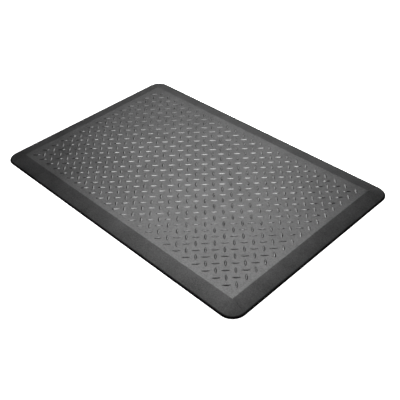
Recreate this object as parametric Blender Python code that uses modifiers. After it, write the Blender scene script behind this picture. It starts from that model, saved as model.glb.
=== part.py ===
"""Anti fatigue floor mat: a moulded tread cover, the foam cushion inside it and a non-slip base sheet.

Metres, +Z up. The origin is on the floor, under the centre of the mat. +X runs along the long side and
+Y along the short side. The three layers lie one on another inside the cover's rim:

    tread_cover   flat field with raised pointed lugs, sloping border, rounded corners, thick rim
    foam_core     closed-cell foam slab with skived edges, filling the hollow under the cover
    base_sheet    non-slip sheet that closes the hollow from below
"""

import math

import bmesh
import bpy
from mathutils import Matrix, Vector

# Outline of the whole mat
LENGTH = 0.9144
WIDTH = 0.6096
CORNER_RADIUS = 0.0381
CORNER_STEPS = 8

# Border: a rounded rim, then a slightly crowned slope up to the square-cornered field
FIELD_HEIGHT = 0.0142
BORDER_WIDTH = 0.045
RIM_HEIGHT = 0.0042
RIM_ROUND = 0.0036
RIM_ROUND_STEPS = 3
SLOPE_STEPS = 3
SLOPE_CROWN = 0.0005

# Layers
COVER_SKIN = 0.003
RIM_WIDTH = 0.012
BASE_THICKNESS = 0.0016
LAYER_GAP = 0.0003
CUTTER_OVERRUN = 0.001

# Tread: two lattices of lugs at 45 degrees, the second set half a pitch along and across the first
LUG_LENGTH = 0.0226
LUG_WIDTH = 0.0070
LUG_HEIGHT = 0.0017
LUG_RIDGE_LENGTH = 0.0110
LUG_ROOT = 0.0005
LUG_TURN = math.radians(45)
TREAD_COLUMNS = 24
TREAD_ROWS = 15
TREAD_PITCH_X = 0.0331
TREAD_PITCH_Y = 0.0329
TREAD_SHIFT_X = 0.0022
TREAD_SHIFT_Y = -0.0006

# Finishes: colour, roughness
COVER_FINISH = ((0.022, 0.022, 0.0225, 1.0), 0.56)
FOAM_FINISH = ((0.035, 0.035, 0.037, 1.0), 0.95)
BASE_FINISH = ((0.022, 0.022, 0.023, 1.0), 0.80)

# Faces that turn more than this from their neighbours stay sharp
SHARP_ANGLE = math.radians(10)
# Hull triangles that lie in one plane, to this angle, join into one face
FLAT_ANGLE = math.radians(0.02)


def clear_scene():
    """Remove every object of the open scene."""
    for old in list(bpy.data.objects):
        bpy.data.objects.remove(old, do_unlink=True)


def new_collection(name):
    """A collection linked to the scene."""
    collection = bpy.data.collections.new(name)
    bpy.context.scene.collection.children.link(collection)
    return collection


def principled(name, finish):
    """A Principled BSDF material of one colour and roughness."""
    colour, roughness = finish
    material = bpy.data.materials.new(name)
    material.use_nodes = True
    shader = material.node_tree.nodes["Principled BSDF"]
    shader.inputs["Base Color"].default_value = colour
    shader.inputs["Roughness"].default_value = roughness
    shader.inputs["Metallic"].default_value = 0.0
    return material


def add_object(name, mesh, collection, material=None):
    """An object of this mesh, at the origin of the frame."""
    made = bpy.data.objects.new(name, mesh)
    collection.objects.link(made)
    if material is not None:
        mesh.materials.append(material)
    return made


def add_cutter(name, mesh, collection):
    """An object that only shapes another one."""
    cutter = add_object(name, mesh, collection)
    cutter.hide_render = True
    cutter.display_type = "WIRE"
    return cutter


def ring(centre_x, centre_y, radius, height):
    """A level outline with round corners, whose corner arcs have their centres at +-centre_x, +-centre_y."""
    points = []
    for quarter, (side_x, side_y) in enumerate(((1, 1), (-1, 1), (-1, -1), (1, -1))):
        steps = CORNER_STEPS if radius > 0 else 0
        for step in range(steps + 1):
            angle = math.radians(90) * (quarter + (step / steps if steps else 0))
            x = side_x * centre_x + radius * math.cos(angle)
            y = side_y * centre_y + radius * math.sin(angle)
            points.append(Vector((x, y, height)))
    return points


def inset_ring(inset, height):
    """The mat's outline moved in by inset, at this height."""
    arc_x = LENGTH / 2 - CORNER_RADIUS
    arc_y = WIDTH / 2 - CORNER_RADIUS
    return ring(arc_x, arc_y, CORNER_RADIUS - inset, height)


def field_ring(inset, height):
    """The square-cornered outline of the field, moved in by inset, at this height."""
    half_x = LENGTH / 2 - BORDER_WIDTH - inset
    half_y = WIDTH / 2 - BORDER_WIDTH - inset
    return ring(half_x, half_y, 0, height)


def slope_ring(share, start_inset, start_height):
    """An outline on the border's slope, from the rim (share 0) to the field's edge (share 1).

    The corner arcs shrink to points at the field's corners, so each corner of the border is a cone.
    """
    arc_x = LENGTH / 2 - CORNER_RADIUS
    arc_y = WIDTH / 2 - CORNER_RADIUS
    field_x = LENGTH / 2 - BORDER_WIDTH
    field_y = WIDTH / 2 - BORDER_WIDTH
    crown = SLOPE_CROWN * 4 * share * (1 - share)
    height = start_height + (FIELD_HEIGHT - start_height) * share + crown
    radius = (CORNER_RADIUS - start_inset) * (1 - share)
    return ring(arc_x + (field_x - arc_x) * share, arc_y + (field_y - arc_y) * share, radius, height)


def hull_mesh(name, rings):
    """The closed mesh that wraps these outlines."""
    shape = bmesh.new()
    for outline in rings:
        for point in outline:
            shape.verts.new(point)
    bmesh.ops.convex_hull(shape, input=shape.verts)
    loose = [vert for vert in shape.verts if not vert.link_faces]
    bmesh.ops.delete(shape, geom=loose, context="VERTS")
    bmesh.ops.dissolve_limit(shape, angle_limit=FLAT_ANGLE, verts=shape.verts, edges=shape.edges)
    bmesh.ops.recalc_face_normals(shape, faces=shape.faces)
    mesh = bpy.data.meshes.new(name)
    shape.to_mesh(mesh)
    shape.free()
    return mesh


def slope_start():
    """Where the rim's round edge meets the slope: its inset and its height."""
    rise = FIELD_HEIGHT - RIM_HEIGHT
    tilt = math.atan2(rise, BORDER_WIDTH)
    inset = RIM_ROUND * (1 - math.sin(tilt))
    height = RIM_HEIGHT - RIM_ROUND * (1 - math.cos(tilt))
    return tilt, inset, height


def outer_rings():
    """The outside of the cover: floor edge, rim, its round top edge, the slope and the field."""
    tilt, start_inset, start_height = slope_start()
    rings = [inset_ring(0, 0)]
    for step in range(RIM_ROUND_STEPS):
        angle = (math.radians(90) - tilt) * step / RIM_ROUND_STEPS
        inset = RIM_ROUND * (1 - math.cos(angle))
        height = RIM_HEIGHT - RIM_ROUND * (1 - math.sin(angle))
        rings.append(inset_ring(inset, height))
    for step in range(SLOPE_STEPS):
        rings.append(slope_ring(step / SLOPE_STEPS, start_inset, start_height))
    rings.append(field_ring(0, FIELD_HEIGHT))
    return rings


def under_slope_height(inset):
    """Height of the underside of the cover's skin at this inset from the outline."""
    tilt, _start_inset, _start_height = slope_start()
    return RIM_HEIGHT + math.tan(tilt) * inset - COVER_SKIN / math.cos(tilt)


def cavity_rings(clearance, floor):
    """The hollow under the cover, or what fills it when it is made smaller by clearance."""
    side = RIM_WIDTH + clearance
    return [
        inset_ring(side, floor),
        inset_ring(side, under_slope_height(side) - clearance),
        field_ring(0, FIELD_HEIGHT - COVER_SKIN - clearance),
    ]


def lug_mesh(name, turn):
    """One lug: a low roof on a pointed base, with a root that reaches below the field's surface."""
    half_length = LUG_LENGTH / 2
    half_width = LUG_WIDTH / 2
    half_ridge = LUG_RIDGE_LENGTH / 2
    base = [(half_length, 0), (0, half_width), (-half_length, 0), (0, -half_width)]
    root = [Vector((x, y, FIELD_HEIGHT - LUG_ROOT)) for x, y in base]
    foot = [Vector((x, y, FIELD_HEIGHT)) for x, y in base]
    ridge = [Vector((x, 0, FIELD_HEIGHT + LUG_HEIGHT)) for x in (-half_ridge, half_ridge)]
    turned = Matrix.Rotation(turn, 3, "Z")
    return hull_mesh(name, [[turned @ point for point in root + foot + ridge]])


def add_array(target, name, count, step):
    """Repeat an object count times, a constant step apart."""
    array = target.modifiers.new(name, "ARRAY")
    array.count = count
    array.use_relative_offset = False
    array.use_constant_offset = True
    array.constant_offset_displace = step
    array.use_merge_vertices = False


def lug_lattice(name, turn, half_steps, collection):
    """A lattice of lugs, moved by this many half pitches from the tread's first lug."""
    lattice = add_cutter(name, lug_mesh(name, turn), collection)
    first_x = TREAD_SHIFT_X - (TREAD_COLUMNS - 0.5) * TREAD_PITCH_X / 2
    first_y = TREAD_SHIFT_Y - (TREAD_ROWS - 0.5) * TREAD_PITCH_Y / 2
    lattice.location.x = first_x + half_steps * TREAD_PITCH_X / 2
    lattice.location.y = first_y + half_steps * TREAD_PITCH_Y / 2
    add_array(lattice, "columns", TREAD_COLUMNS, (TREAD_PITCH_X, 0, 0))
    add_array(lattice, "rows", TREAD_ROWS, (0, TREAD_PITCH_Y, 0))
    return lattice


def add_boolean(target, operand, operation):
    """Cut or join target with operand."""
    boolean = target.modifiers.new(operand.name, "BOOLEAN")
    boolean.operation = operation
    boolean.solver = "EXACT"
    boolean.object = operand


def shade(mesh):
    """Smooth shading over the round stretches, sharp at the real edges."""
    mesh.shade_smooth()
    mesh.set_sharp_from_angle(angle=SHARP_ANGLE)


def make_tread_cover(parts, cutters):
    """The moulded cover: a shallow tray, open below, with the tread on its field."""
    material = principled("cover_rubber", COVER_FINISH)
    mesh = hull_mesh("tread_cover", outer_rings())
    shade(mesh)
    cover = add_object("tread_cover", mesh, parts, material)
    hollow = add_cutter("cover_hollow", hull_mesh("cover_hollow", cavity_rings(0, -CUTTER_OVERRUN)), cutters)
    add_boolean(cover, hollow, "DIFFERENCE")
    add_boolean(cover, lug_lattice("lugs_rising", LUG_TURN, 0, cutters), "UNION")
    add_boolean(cover, lug_lattice("lugs_falling", -LUG_TURN, 1, cutters), "UNION")


def make_foam_core(parts):
    """The foam cushion: a slab whose edges are skived to follow the border."""
    material = principled("cushion_foam", FOAM_FINISH)
    mesh = hull_mesh("foam_core", cavity_rings(LAYER_GAP, BASE_THICKNESS + LAYER_GAP))
    shade(mesh)
    add_object("foam_core", mesh, parts, material)


def make_base_sheet(parts):
    """The non-slip sheet, flush with the underside of the rim."""
    material = principled("base_rubber", BASE_FINISH)
    side = RIM_WIDTH + LAYER_GAP
    mesh = hull_mesh("base_sheet", [inset_ring(side, 0), inset_ring(side, BASE_THICKNESS)])
    shade(mesh)
    add_object("base_sheet", mesh, parts, material)


def main():
    """Model the mat."""
    clear_scene()
    parts = new_collection("anti_fatigue_mat")
    cutters = new_collection("cutters")
    make_tread_cover(parts, cutters)
    make_foam_core(parts)
    make_base_sheet(parts)


main()
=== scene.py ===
"""Looks of the anti fatigue mat: moulded tread cover, foam cushion and grip base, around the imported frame."""

import math

import bmesh
import bpy
import numpy as np
from mathutils import Euler, Matrix, Quaternion, Vector
from mathutils.geometry import delaunay_2d_cdt


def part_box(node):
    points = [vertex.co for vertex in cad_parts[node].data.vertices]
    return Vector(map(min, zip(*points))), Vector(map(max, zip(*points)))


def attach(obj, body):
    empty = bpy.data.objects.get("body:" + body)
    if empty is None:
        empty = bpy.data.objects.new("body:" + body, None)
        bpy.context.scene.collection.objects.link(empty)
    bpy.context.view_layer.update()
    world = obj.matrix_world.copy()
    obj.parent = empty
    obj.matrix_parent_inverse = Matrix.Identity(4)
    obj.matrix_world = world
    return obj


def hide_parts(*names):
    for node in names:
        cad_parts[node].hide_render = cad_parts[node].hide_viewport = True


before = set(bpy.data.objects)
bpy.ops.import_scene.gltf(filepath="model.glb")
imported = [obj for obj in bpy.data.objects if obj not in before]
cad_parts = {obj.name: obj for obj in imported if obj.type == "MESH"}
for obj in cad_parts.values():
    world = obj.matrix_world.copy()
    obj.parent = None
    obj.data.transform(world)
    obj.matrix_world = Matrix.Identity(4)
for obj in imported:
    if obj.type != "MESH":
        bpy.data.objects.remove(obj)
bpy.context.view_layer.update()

# ---------------------------------------------------------------- sizes, in metres

COVER_LOW, COVER_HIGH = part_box("tread_cover")
FOAM_LOW, FOAM_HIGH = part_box("foam_core")
BASE_LOW, BASE_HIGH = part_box("base_sheet")

HALF_LENGTH = COVER_HIGH.x
HALF_WIDTH = COVER_HIGH.y
CORNER_RADIUS = 0.0381

LUG_HEIGHT = 0.0017
FIELD_HEIGHT = COVER_HIGH.z - LUG_HEIGHT
BORDER_WIDTH = 0.045
RIM_HEIGHT = 0.0042
RIM_ROUND = 0.0036
FOOT_ROUND = 0.0006
EDGE_ROUND = 0.0007
SLOPE_CROWN = 0.0005
COVER_SKIN = 0.003
CREASE_DEPTH = 0.0007

LUG_LENGTH = 0.0226
LUG_WIDTH = 0.0070
TREAD_COLUMNS = 24
TREAD_ROWS = 15
TREAD_PITCH_X = 0.0331
TREAD_PITCH_Y = 0.0329
TREAD_SHIFT_X = 0.0022
TREAD_SHIFT_Y = -0.0006

STUD_PITCH = 0.012
STUD_RADIUS = 0.0031
STUD_HEIGHT = 0.0005

# ---------------------------------------------------------------- mesh resolution

ARC_STEPS = 20
LONG_SIDE_STEPS = 60
SHORT_SIDE_STEPS = 40
SLOPE_STEPS = 10
RIM_STEPS = 6
LUG_STEPS_ALONG = 14
LUG_ACROSS = np.array([0.12, 0.55, 0.90, 1.0])
LUG_STEPS_ACROSS = 2 * len(LUG_ACROSS)
FIELD_POINT_SPACING = 0.012
SIDE_END_SHARE = 0.003
MERGE_DISTANCE = 0.000004


def outline(arc_x, arc_y, radius, height):
    """A level outline: four corner arcs with their centres at +-arc_x, +-arc_y, and the sides between them."""
    quarters = ((1, 1), (-1, 1), (-1, -1), (1, -1))
    arcs = []
    for quarter, (side_x, side_y) in enumerate(quarters):
        angles = math.radians(90) * (quarter + np.arange(ARC_STEPS + 1) / ARC_STEPS)
        arcs.append(np.stack([side_x * arc_x + radius * np.cos(angles),
                              side_y * arc_y + radius * np.sin(angles)], 1))
    points = []
    for quarter, arc in enumerate(arcs):
        steps = LONG_SIDE_STEPS if quarter % 2 == 0 else SHORT_SIDE_STEPS
        share = np.concatenate([[SIDE_END_SHARE], np.arange(1, steps) / steps, [1 - SIDE_END_SHARE]])[:, None]
        following = arcs[(quarter + 1) % 4][0]
        points += [arc, arc[-1] + (following - arc[-1]) * share]
    flat = np.concatenate(points)
    return np.column_stack([flat, np.full(len(flat), height)])


def inset_outline(inset, height):
    """The mat's outline moved in by inset."""
    return outline(HALF_LENGTH - CORNER_RADIUS, HALF_WIDTH - CORNER_RADIUS, CORNER_RADIUS - inset, height)


def field_outline(inset, height):
    """The square-cornered outline of the field, moved in by inset."""
    return outline(HALF_LENGTH - BORDER_WIDTH - inset, HALF_WIDTH - BORDER_WIDTH - inset, 0, height)


def slope_outline(share, start_inset, start_height):
    """An outline on the border's slope, from the rim (share 0) to the field's edge (share 1)."""
    arc_x = HALF_LENGTH - CORNER_RADIUS
    arc_y = HALF_WIDTH - CORNER_RADIUS
    field_x = HALF_LENGTH - BORDER_WIDTH
    field_y = HALF_WIDTH - BORDER_WIDTH
    crown = SLOPE_CROWN * 4 * share * (1 - share)
    height = start_height + (FIELD_HEIGHT - start_height) * share + crown
    radius = (CORNER_RADIUS - start_inset) * (1 - share)
    made = outline(arc_x + (field_x - arc_x) * share, arc_y + (field_y - arc_y) * share, radius, height)
    made[crease_steps(), 2] -= CREASE_DEPTH * math.sin(math.pi * min(1, share * 1.05)) ** 0.5
    return made


def crease_steps():
    """Places in an outline of the two ends of each corner arc, where the slope creases."""
    steps = []
    start = 0
    for quarter in range(4):
        steps += [start, start + ARC_STEPS]
        start += ARC_STEPS + 2 + (LONG_SIDE_STEPS if quarter % 2 == 0 else SHORT_SIDE_STEPS)
    return steps


def slope_tilt():
    """Angle of the border's slope above the floor."""
    return math.atan2(FIELD_HEIGHT - RIM_HEIGHT, BORDER_WIDTH)


def cover_outlines():
    """Outlines of the cover's skin, from the hollow's ceiling, round the rim, to the field's edge."""
    tilt = slope_tilt()
    rim_width = HALF_LENGTH - FOAM_HIGH.x - (FOAM_LOW.z - BASE_HIGH.z)
    wall_top = RIM_HEIGHT + math.tan(tilt) * rim_width - COVER_SKIN / math.cos(tilt)
    rings = [
        field_outline(0, FIELD_HEIGHT - COVER_SKIN),
        inset_outline(rim_width, wall_top),
        inset_outline(rim_width, FOOT_ROUND / 2),
        inset_outline(rim_width - FOOT_ROUND / 2, 0),
        inset_outline(FOOT_ROUND, 0),
    ]
    for angle in np.linspace(0, math.radians(90), 4)[1:]:
        rings.append(inset_outline(FOOT_ROUND * (1 - math.sin(angle)), FOOT_ROUND * (1 - math.cos(angle))))
    for angle in np.linspace(0, math.radians(90) - tilt, RIM_STEPS + 1)[:-1]:
        inset = RIM_ROUND * (1 - math.cos(angle))
        rings.append(inset_outline(inset, RIM_HEIGHT - RIM_ROUND * (1 - math.sin(angle))))
    start_inset = RIM_ROUND * (1 - math.sin(tilt))
    start_height = RIM_HEIGHT - RIM_ROUND * (1 - math.cos(tilt))
    edge_share = EDGE_ROUND / BORDER_WIDTH
    for share in np.linspace(0, 1 - edge_share, SLOPE_STEPS + 1):
        rings.append(slope_outline(share, start_inset, start_height))
    soften = EDGE_ROUND * math.tan(tilt) / 4
    rings.append(field_outline(0, FIELD_HEIGHT - soften))
    rings.append(field_outline(EDGE_ROUND, FIELD_HEIGHT))
    return rings


def lug_grid():
    """One lug along +X: its points, its faces and the indices of its outline, in order round it."""
    half_length = LUG_LENGTH / 2
    half_width = LUG_WIDTH / 2
    stations = -np.cos(np.linspace(0, math.pi, LUG_STEPS_ALONG + 1)[1:-1]) * half_length
    across = np.concatenate([-LUG_ACROSS[::-1], [0], LUG_ACROSS])
    points = [(-half_length, 0, 0)]
    for along in stations:
        width = half_width * (1 - abs(along / half_length) ** 2.2)
        crest = LUG_HEIGHT * (1 - abs(along / half_length) ** 3.0)
        for side in across:
            swell = 1 - abs(side) ** 1.08
            points.append((along, width * side, crest * swell))
    points.append((half_length, 0, 0))
    row = LUG_STEPS_ACROSS + 1
    last = len(points) - 1
    faces = []
    for step in range(LUG_STEPS_ACROSS):
        faces.append((0, 2 + step, 1 + step))
        faces.append((last, last - row + step, last - row + step + 1))
    for station in range(len(stations) - 1):
        for step in range(LUG_STEPS_ACROSS):
            corner = 1 + station * row + step
            faces.append((corner, corner + 1, corner + row + 1, corner + row))
    lower = [1 + station * row for station in range(len(stations))]
    upper = [lower_index + LUG_STEPS_ACROSS for lower_index in reversed(lower)]
    faces = [tuple(reversed(face)) for face in faces]
    return np.array(points), faces, [0, *lower, last, *upper]


def lug_places():
    """Centre and turn of every lug: rising ones on one lattice, falling ones half a pitch further on."""
    first_x = TREAD_SHIFT_X - (TREAD_COLUMNS - 0.5) * TREAD_PITCH_X / 2
    first_y = TREAD_SHIFT_Y - (TREAD_ROWS - 0.5) * TREAD_PITCH_Y / 2
    places = []
    for half_steps, turn in ((0, math.radians(45)), (1, math.radians(-45))):
        for column in range(TREAD_COLUMNS):
            for line in range(TREAD_ROWS):
                x = first_x + (column + half_steps / 2) * TREAD_PITCH_X
                y = first_y + (line + half_steps / 2) * TREAD_PITCH_Y
                places.append((x, y, turn))
    return places


def mesh_object(name, points, faces):
    """An object with this mesh."""
    mesh = bpy.data.meshes.new(name)
    mesh.from_pydata([tuple(point) for point in points], [], faces)
    made = bpy.data.objects.new(name, mesh)
    bpy.context.scene.collection.objects.link(made)
    return made


def bridge(faces, first, second, count):
    """Quads between two outlines of count points that start at these indices."""
    for step in range(count):
        following = (step + 1) % count
        faces.append((first + step, first + following, second + following, second + step))


def field_plane(edge, lugs, outline_indices):
    """The flat of the field between the lugs: its points and its triangles."""
    corners = [tuple(point[:2]) for point in edge]
    boundary = [point for step, point in enumerate(corners) if math.dist(point, corners[step - 1]) > MERGE_DISTANCE]
    points = [Vector(point) for point in boundary]
    edges = [(step, (step + 1) % len(boundary)) for step in range(len(boundary))]
    holes = []
    for lug in lugs:
        start = len(points)
        points += [Vector(lug[index][:2]) for index in outline_indices]
        holes.append(list(range(start, len(points))))
    half_x = max(point[0] for point in boundary)
    half_y = max(point[1] for point in boundary)
    centres = np.array([lug[:, :2].mean(0) for lug in lugs])
    count_x = round(2 * half_x / FIELD_POINT_SPACING)
    count_y = round(2 * half_y / FIELD_POINT_SPACING)
    for x in np.linspace(-half_x, half_x, count_x + 1)[1:-1]:
        for y in np.linspace(-half_y, half_y, count_y + 1)[1:-1]:
            if np.hypot(*(centres - (x, y)).T).min() > LUG_LENGTH / 2:
                points.append(Vector((x, y)))
    found = delaunay_2d_cdt(points, edges, holes, 0, 1e-7)
    flat, triangles, owners = found[0], found[2], found[5]
    kept = [tuple(triangle) for triangle, owner in zip(triangles, owners) if not owner]
    return [(point.x, point.y, FIELD_HEIGHT) for point in flat], kept


def build_cover():
    """The cover's whole skin as one mesh."""
    rings = cover_outlines()
    count = len(rings[0])
    points = [tuple(point) for ring in rings for point in ring]
    faces = [tuple(range(count))]
    for step in range(len(rings) - 1):
        bridge(faces, step * count, (step + 1) * count, count)
    groups = [0] * len(faces)

    lug_points, lug_faces, outline_indices = lug_grid()
    lugs = []
    for x, y, turn in lug_places():
        spin = np.array(Matrix.Rotation(turn, 3, "Z"))
        placed = lug_points @ spin.T + (x, y, FIELD_HEIGHT)
        start = len(points)
        points += [tuple(point) for point in placed]
        faces += [tuple(start + index for index in face) for face in lug_faces]
        lugs.append(placed)
    groups += [1] * (len(faces) - len(groups))

    plane_points, plane_faces = field_plane(rings[-1], lugs, outline_indices)
    start = len(points)
    points += plane_points
    faces += [tuple(start + index for index in face) for face in plane_faces]
    groups += [2] * (len(faces) - len(groups))

    cover = mesh_object("tread_cover_skin", points, faces)
    close_up(cover, groups)
    return cover


def close_up(made, groups):
    """Join the points that meet, drop faces with no area, and keep the lines between groups of faces sharp."""
    shape = bmesh.new()
    shape.from_mesh(made.data)
    shape.faces.ensure_lookup_table()
    layer = shape.faces.layers.int.new("group")
    for face, group in zip(shape.faces, groups):
        face[layer] = group
        face.smooth = True
    bmesh.ops.remove_doubles(shape, verts=shape.verts, dist=MERGE_DISTANCE)
    bmesh.ops.dissolve_degenerate(shape, edges=shape.edges, dist=MERGE_DISTANCE / 2)
    bmesh.ops.recalc_face_normals(shape, faces=shape.faces)
    for edge in shape.edges:
        linked = {face[layer] for face in edge.link_faces}
        if len(linked) > 1:
            edge.smooth = False
    open_edges = [edge for edge in shape.edges if len(edge.link_faces) != 2]
    print(made.name, "faces", len(shape.faces), "open edges", len(open_edges))
    shape.to_mesh(made.data)
    shape.free()


def build_foam():
    """The foam cushion: soft-edged slab that follows the underside of the cover."""
    gap = FOAM_LOW.z - BASE_HIGH.z
    inset = HALF_LENGTH - FOAM_HIGH.x
    tilt = slope_tilt()
    shoulder = RIM_HEIGHT + math.tan(tilt) * inset - COVER_SKIN / math.cos(tilt) - gap
    rings = []
    for share in (0.0, 0.35, 0.7, 1.0):
        bulge = 0.0002 * math.sin(math.pi * share)
        rings.append(inset_outline(inset + 0.0004 - bulge, FOAM_LOW.z + (shoulder - FOAM_LOW.z) * share))
    arc_x = HALF_LENGTH - CORNER_RADIUS
    arc_y = HALF_WIDTH - CORNER_RADIUS
    field_x = HALF_LENGTH - BORDER_WIDTH
    field_y = HALF_WIDTH - BORDER_WIDTH
    for share in np.linspace(0, 1, 12)[1:]:
        radius = (CORNER_RADIUS - inset) * (1 - share)
        height = shoulder + (FOAM_HIGH.z - shoulder) * share
        rings.append(outline(arc_x + (field_x - arc_x) * share, arc_y + (field_y - arc_y) * share, radius, height))
    rings.append(field_outline(0.001, FOAM_HIGH.z))
    count = len(rings[0])
    points = [tuple(point) for ring in rings for point in ring]
    faces = [tuple(range(count))]
    for step in range(len(rings) - 1):
        bridge(faces, step * count, (step + 1) * count, count)
    faces.append(tuple(len(points) - count + step for step in range(count)))
    groups = [0, *[1] * (len(faces) - 2), 2]
    foam = mesh_object("foam_cushion", points, faces)
    close_up(foam, groups)
    return foam


def stud_rings(x, y):
    """The outlines of one low round stud under the base, from its foot to its worn crown."""
    angles = np.arange(STUD_SIDES) * 2 * math.pi / STUD_SIDES
    made = []
    for reach, drop in ((1.0, 0.0), (0.82, 0.7), (0.6, 1.0)):
        radius = STUD_RADIUS * reach
        height = BASE_LOW.z + STUD_HEIGHT * (1 - drop)
        made.append([(x + radius * math.cos(a), y + radius * math.sin(a), height) for a in angles])
    return made


STUD_SIDES = 8


def build_base():
    """The base sheet, with round studs on its underside that grip the floor."""
    side = HALF_LENGTH - BASE_HIGH.x
    sheet_low = BASE_LOW.z + STUD_HEIGHT
    rings = [
        inset_outline(side + 0.0006, BASE_HIGH.z),
        inset_outline(side, BASE_HIGH.z - 0.0003),
        inset_outline(side, BASE_LOW.z + 0.0002),
        inset_outline(side + 0.0004, BASE_LOW.z),
        inset_outline(side + 0.0040, BASE_LOW.z),
        inset_outline(side + 0.0046, sheet_low),
    ]
    count = len(rings[0])
    points = [tuple(point) for ring in rings for point in ring]
    faces = [tuple(reversed(range(count)))]
    for step in range(len(rings) - 1):
        bridge(faces, step * count, (step + 1) * count, count)
    groups = [0] * len(faces)

    inner = [tuple(point[:2]) for point in rings[-1]]
    flat_points = [Vector(point) for point in inner]
    flat_edges = [(step, (step + 1) % count) for step in range(count)]
    holes = []
    row_step = STUD_PITCH * math.sqrt(3) / 2
    reach_x = BASE_HIGH.x - 0.012
    reach_y = BASE_HIGH.y - 0.012
    rows = int(reach_y / row_step)
    for row in range(-rows, rows + 1):
        shift = STUD_PITCH / 2 if row % 2 else 0
        columns = int((reach_x - shift) / STUD_PITCH)
        for column in range(-columns - (1 if shift else 0), columns + 1):
            x = column * STUD_PITCH + shift
            y = row * row_step
            corner_x = max(0, abs(x) - (HALF_LENGTH - CORNER_RADIUS))
            corner_y = max(0, abs(y) - (HALF_WIDTH - CORNER_RADIUS))
            if math.hypot(corner_x, corner_y) > CORNER_RADIUS - side - 0.012:
                continue
            stud = stud_rings(x, y)
            start = len(points)
            points += [point for ring in stud for point in ring]
            for level in range(2):
                bridge(faces, start + level * STUD_SIDES, start + (level + 1) * STUD_SIDES, STUD_SIDES)
            faces.append(tuple(start + 2 * STUD_SIDES + step for step in range(STUD_SIDES)))
            begin = len(flat_points)
            flat_points += [Vector(point[:2]) for point in stud[0]]
            holes.append(list(range(begin, len(flat_points))))
    groups += [1] * (len(faces) - len(groups))
    found = delaunay_2d_cdt(flat_points, flat_edges, holes, 0, 1e-7)
    start = len(points)
    points += [(point.x, point.y, sheet_low) for point in found[0]]
    faces += [tuple(start + index for index in face) for face, owner in zip(found[2], found[5]) if not owner]
    groups += [2] * (len(faces) - len(groups))
    base = mesh_object("grip_base", points, faces)
    close_up(base, groups)
    return base


# ---------------------------------------------------------------- materials

class Nodes:
    """A material's nodes, made and linked with few words."""

    def __init__(self, name):
        self.material = bpy.data.materials.new(name)
        self.material.use_nodes = True
        self.tree = self.material.node_tree
        self.shader = self.tree.nodes["Principled BSDF"]
        coordinates = self.tree.nodes.new("ShaderNodeTexCoord")
        self.place = coordinates.outputs["Object"]

    def link(self, source, target):
        self.tree.links.new(source, target)

    def noise(self, scale, detail=4.0, roughness=0.5):
        node = self.tree.nodes.new("ShaderNodeTexNoise")
        node.inputs["Scale"].default_value = scale
        node.inputs["Detail"].default_value = detail
        node.inputs["Roughness"].default_value = roughness
        self.link(self.place, node.inputs["Vector"])
        return node.outputs["Fac"]

    def cells(self, scale, feature="SMOOTH_F1"):
        node = self.tree.nodes.new("ShaderNodeTexVoronoi")
        node.feature = feature
        node.inputs["Scale"].default_value = scale
        self.link(self.place, node.inputs["Vector"])
        return node.outputs["Distance"]

    def ramp(self, source, low, high, start, end):
        node = self.tree.nodes.new("ShaderNodeMapRange")
        node.inputs["From Min"].default_value = start
        node.inputs["From Max"].default_value = end
        node.inputs["To Min"].default_value = low
        node.inputs["To Max"].default_value = high
        self.link(source, node.inputs["Value"])
        return node.outputs["Result"]

    def math(self, operation, first, second):
        node = self.tree.nodes.new("ShaderNodeMath")
        node.operation = operation
        for socket, value in zip(node.inputs, (first, second)):
            if isinstance(value, (int, float)):
                socket.default_value = value
            else:
                self.link(value, socket)
        return node.outputs["Value"]

    def height(self):
        node = self.tree.nodes.new("ShaderNodeSeparateXYZ")
        self.link(self.place, node.inputs["Vector"])
        return node.outputs["Z"]

    def mix_colour(self, share, first, second):
        node = self.tree.nodes.new("ShaderNodeMix")
        node.data_type = "RGBA"
        self.link(share, node.inputs["Factor"])
        node.inputs[6].default_value = first
        node.inputs[7].default_value = second
        return node.outputs[2]

    def bump(self, source, distance, strength, normal=None):
        node = self.tree.nodes.new("ShaderNodeBump")
        node.inputs["Distance"].default_value = distance
        node.inputs["Strength"].default_value = strength
        self.link(source, node.inputs["Height"])
        if normal is not None:
            self.link(normal, node.inputs["Normal"])
        return node.outputs["Normal"]


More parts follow.
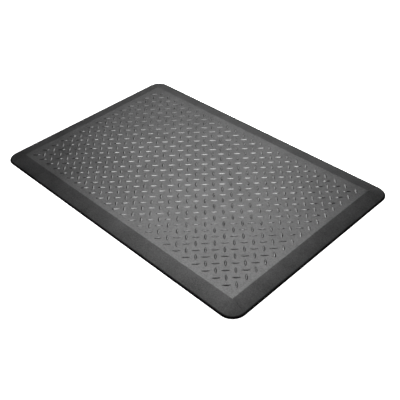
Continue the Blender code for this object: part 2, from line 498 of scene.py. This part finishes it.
def cover_material():
    """Charcoal moulded rubber: pebbled field, smoother shiny lugs, duller border, painted shade darkening the lugs'
    feet, and a rim whose colour is darkened as painted shade for the undercut and contact shadow at the mat's edge.
    """
    nodes = Nodes("cover_rubber_grained")
    height = nodes.height()
    on_lug = nodes.ramp(height, 0.0, 1.0, FIELD_HEIGHT, FIELD_HEIGHT + LUG_HEIGHT * 0.15)
    above_foot = nodes.ramp(height, 0.0, 1.0, FIELD_HEIGHT + LUG_HEIGHT * 0.2, FIELD_HEIGHT + LUG_HEIGHT * 0.5)
    # Lugs' feet, where each lug meets the field: their colour is darkened below as painted shade, and their gloss
    # is lowered.
    foot_painted_shade = nodes.math("MULTIPLY", on_lug, nodes.math("SUBTRACT", 1.0, above_foot))
    on_slope = nodes.ramp(height, 1.0, 0.0, FIELD_HEIGHT - 0.0003, FIELD_HEIGHT - 0.00005)
    # Rim band near the floor: its colour is darkened below as painted shade for the undercut and contact shadow at
    # the mat's edge, and its gloss is lowered too.
    rim_painted_shade = nodes.ramp(height, 1.0, 0.0, RIM_HEIGHT - 0.0006, RIM_HEIGHT + 0.0008)
    mottle = nodes.noise(14, 5, 0.6)
    speck = nodes.noise(420, 3, 0.7)
    shade = nodes.math("ADD", nodes.math("MULTIPLY", mottle, 0.5), nodes.math("MULTIPLY", speck, 0.5))
    # Random mottle and speck set the tone, then painted shade darkens the rim's colour by 0.8.
    tone = nodes.math("SUBTRACT", nodes.ramp(shade, 0.0, 1.0, 0.35, 0.65), nodes.math("MULTIPLY", rim_painted_shade, 0.8))
    # Painted shade: the lugs' feet are darkened by 0.6 to stand in for the shade where each lug meets the field.
    tone = nodes.math("SUBTRACT", tone, nodes.math("MULTIPLY", foot_painted_shade, 0.6))
    colour = nodes.mix_colour(tone, (0.003, 0.003, 0.0031, 1), (0.022, 0.022, 0.0224, 1))
    nodes.link(colour, nodes.shader.inputs["Base Color"])
    rough = nodes.ramp(speck, 0.49, 0.57, 0.3, 0.7)
    rough = nodes.math("SUBTRACT", rough, nodes.math("MULTIPLY", on_lug, 0.32))
    nodes.link(rough, nodes.shader.inputs["Roughness"])
    gloss = nodes.math("ADD", 0.49, nodes.math("MULTIPLY", on_lug, 0.36))
    gloss = nodes.math("SUBTRACT", gloss, nodes.math("MULTIPLY", foot_painted_shade, 0.45))
    gloss = nodes.math("SUBTRACT", gloss, nodes.math("MULTIPLY", on_slope, 0.24))
    gloss = nodes.math("SUBTRACT", gloss, nodes.math("MULTIPLY", rim_painted_shade, 0.42))
    gloss = nodes.math("MULTIPLY", gloss, nodes.ramp(nodes.noise(260, 3, 0.7), 0.72, 1.28, 0.35, 0.65))
    nodes.link(gloss, nodes.shader.inputs["Specular IOR Level"])
    grain = nodes.math("SUBTRACT", 1.0, nodes.math("MULTIPLY", on_lug, 0.75))
    normal = nodes.bump(nodes.math("MULTIPLY", nodes.cells(1000), grain), 0.00014, 0.5)
    normal = nodes.bump(nodes.math("MULTIPLY", nodes.noise(300, 2, 0.6), grain), 0.00045, 0.7, normal)
    nodes.link(normal, nodes.shader.inputs["Normal"])
    return nodes.material


def foam_material():
    """Dark closed-cell foam with fine round cells."""
    nodes = Nodes("cushion_foam_cells")
    cells = nodes.cells(900, "F1")
    mottle = nodes.noise(40, 4, 0.6)
    tone = nodes.ramp(nodes.math("ADD", cells, mottle), 0.0, 1.0, 0.4, 1.3)
    nodes.link(nodes.mix_colour(tone, (0.016, 0.016, 0.017, 1), (0.045, 0.045, 0.047, 1)),
               nodes.shader.inputs["Base Color"])
    nodes.link(nodes.ramp(mottle, 0.85, 0.98, 0.3, 0.7), nodes.shader.inputs["Roughness"])
    nodes.link(nodes.bump(cells, 0.0004, 0.7), nodes.shader.inputs["Normal"])
    return nodes.material


def base_material():
    """Black non-slip rubber, slightly dusty, with a fine moulded grain."""
    nodes = Nodes("base_rubber_grained")
    mottle = nodes.noise(25, 5, 0.65)
    grain = nodes.noise(1500, 3, 0.6)
    tone = nodes.ramp(nodes.math("ADD", nodes.math("MULTIPLY", mottle, 0.8), nodes.math("MULTIPLY", grain, 0.2)),
                      0.0, 1.0, 0.35, 0.65)
    nodes.link(nodes.mix_colour(tone, (0.014, 0.014, 0.015, 1), (0.030, 0.030, 0.031, 1)),
               nodes.shader.inputs["Base Color"])
    nodes.link(nodes.ramp(grain, 0.62, 0.85, 0.3, 0.7), nodes.shader.inputs["Roughness"])
    nodes.link(nodes.bump(grain, 0.0001, 0.6), nodes.shader.inputs["Normal"])
    return nodes.material


# ---------------------------------------------------------------- stage, light and camera

CAMERA_PLACE = Vector((1.1012, -0.9832, 1.1092))
CAMERA_LOOK = Vector((-0.5683, 0.5288, -0.6304))
CAMERA_ROLL = math.radians(-2.96)
CAMERA_LENS = 59.56


def make_camera():
    """The camera at the photograph's viewing angle."""
    data = bpy.data.cameras.new("camera")
    data.sensor_width = 36
    data.lens = CAMERA_LENS
    data.clip_start = 0.05
    data.clip_end = 50
    camera = bpy.data.objects.new("camera", data)
    bpy.context.scene.collection.objects.link(camera)
    camera.location = CAMERA_PLACE
    camera.rotation_mode = "QUATERNION"
    turn = Quaternion((0, 0, 1), CAMERA_ROLL)
    camera.rotation_quaternion = CAMERA_LOOK.to_track_quat("-Z", "Y") @ turn
    bpy.context.scene.camera = camera


def softbox(name, place, target, size, radiance, turn=0.0):
    """A rectangular soft light of even radiance, aimed at a point and unseen by the camera."""
    data = bpy.data.lights.new(name, "AREA")
    data.shape = "RECTANGLE"
    data.size, data.size_y = size
    data.energy = radiance * math.pi * size[0] * size[1]
    lamp = bpy.data.objects.new(name, data)
    bpy.context.scene.collection.objects.link(lamp)
    lamp.location = place
    lamp.rotation_mode = "QUATERNION"
    aim = (Vector(target) - Vector(place)).to_track_quat("-Z", "Y")
    lamp.rotation_quaternion = aim @ Quaternion((0, 0, 1), turn)
    lamp.visible_camera = False


def white_material(name, colour, glow):
    """A pale matt white that also glows, as a lit studio sweep does."""
    material = bpy.data.materials.new(name)
    material.use_nodes = True
    shader = material.node_tree.nodes["Principled BSDF"]
    shader.inputs["Base Color"].default_value = (colour, colour, colour, 1)
    shader.inputs["Roughness"].default_value = 0.9
    shader.inputs["Emission Color"].default_value = (1, 1, 1, 1)
    shader.inputs["Emission Strength"].default_value = glow
    return material


def make_stage():
    """A pale floor inside a pale drum-shaped backdrop."""
    floor = mesh_object("floor", *disc(STAGE_RADIUS))
    floor.location.z = -FLOOR_DROP
    floor.data.materials.append(white_material("floor_white", 0.8, FLOOR_GLOW))
    floor.visible_glossy = False
    floor.visible_diffuse = False
    shade = mesh_object("floor_shade", *disc(STAGE_RADIUS))
    shade.location.z = -FLOOR_DROP * 2
    shade.data.materials.append(white_material("floor_shade", 0.0, 0.0))
    shade.visible_camera = False
    backdrop = mesh_object("backdrop", *drum(STAGE_RADIUS, STAGE_HEIGHT))
    backdrop.location.z = -FLOOR_DROP
    backdrop.data.materials.append(white_material("backdrop_white", 0.0, 1.0))
    backdrop.visible_glossy = False
    backdrop.visible_diffuse = False
    backdrop.visible_shadow = False


STAGE_RADIUS = 7.0
STAGE_HEIGHT = 9.0
STAGE_SIDES = 64
FLOOR_DROP = 0.0002
FLOOR_GLOW = 1.0


def stage_ring(radius, height):
    """Points of a level circle."""
    angles = np.arange(STAGE_SIDES) * 2 * math.pi / STAGE_SIDES
    return [(radius * math.cos(a), radius * math.sin(a), height) for a in angles]


def disc(radius):
    """A round floor."""
    return stage_ring(radius, 0), [tuple(range(STAGE_SIDES))]


def drum(radius, height):
    """An open wall with a lid, seen from inside."""
    faces = []
    bridge(faces, STAGE_SIDES, 0, STAGE_SIDES)
    faces.append(tuple(reversed(range(STAGE_SIDES, 2 * STAGE_SIDES))))
    return stage_ring(radius, 0) + stage_ring(radius, height), faces


def make_light():
    """One soft light low over the far side of the mat, in dim even surroundings."""
    softbox("wide_softbox", (-0.20, 0.27, 0.64), (0, 0, 0), (0.88, 1.08), 3.2)
    softbox("top_softbox", (0.02, 0.0, 0.60), (0.02, 0.0, 0), (0.80, 0.52), 5.8, math.radians(45))
    softbox("far_glow", (-1.0, 1.7, 0.50), (0, 0, 0), (2.8, 0.6), 0.9)
    world = bpy.data.worlds.new("surround")
    world.use_nodes = True
    background = world.node_tree.nodes["Background"]
    background.inputs["Color"].default_value = (1, 1, 1, 1)
    background.inputs["Strength"].default_value = 0.17
    bpy.context.scene.world = world
    bpy.context.scene.view_settings.view_transform = "Standard"


# ---------------------------------------------------------------- the pieces

def finish_piece(piece, material, node):
    """Give a piece its material and place in the frame."""
    piece.data.materials.append(material)
    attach(piece, "root")
    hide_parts(node)


make_camera()
make_light()
make_stage()

cover = build_cover()
finish_piece(cover, cover_material(), "tread_cover")

foam = build_foam()
finish_piece(foam, foam_material(), "foam_core")

base = build_base()
finish_piece(base, base_material(), "base_sheet")
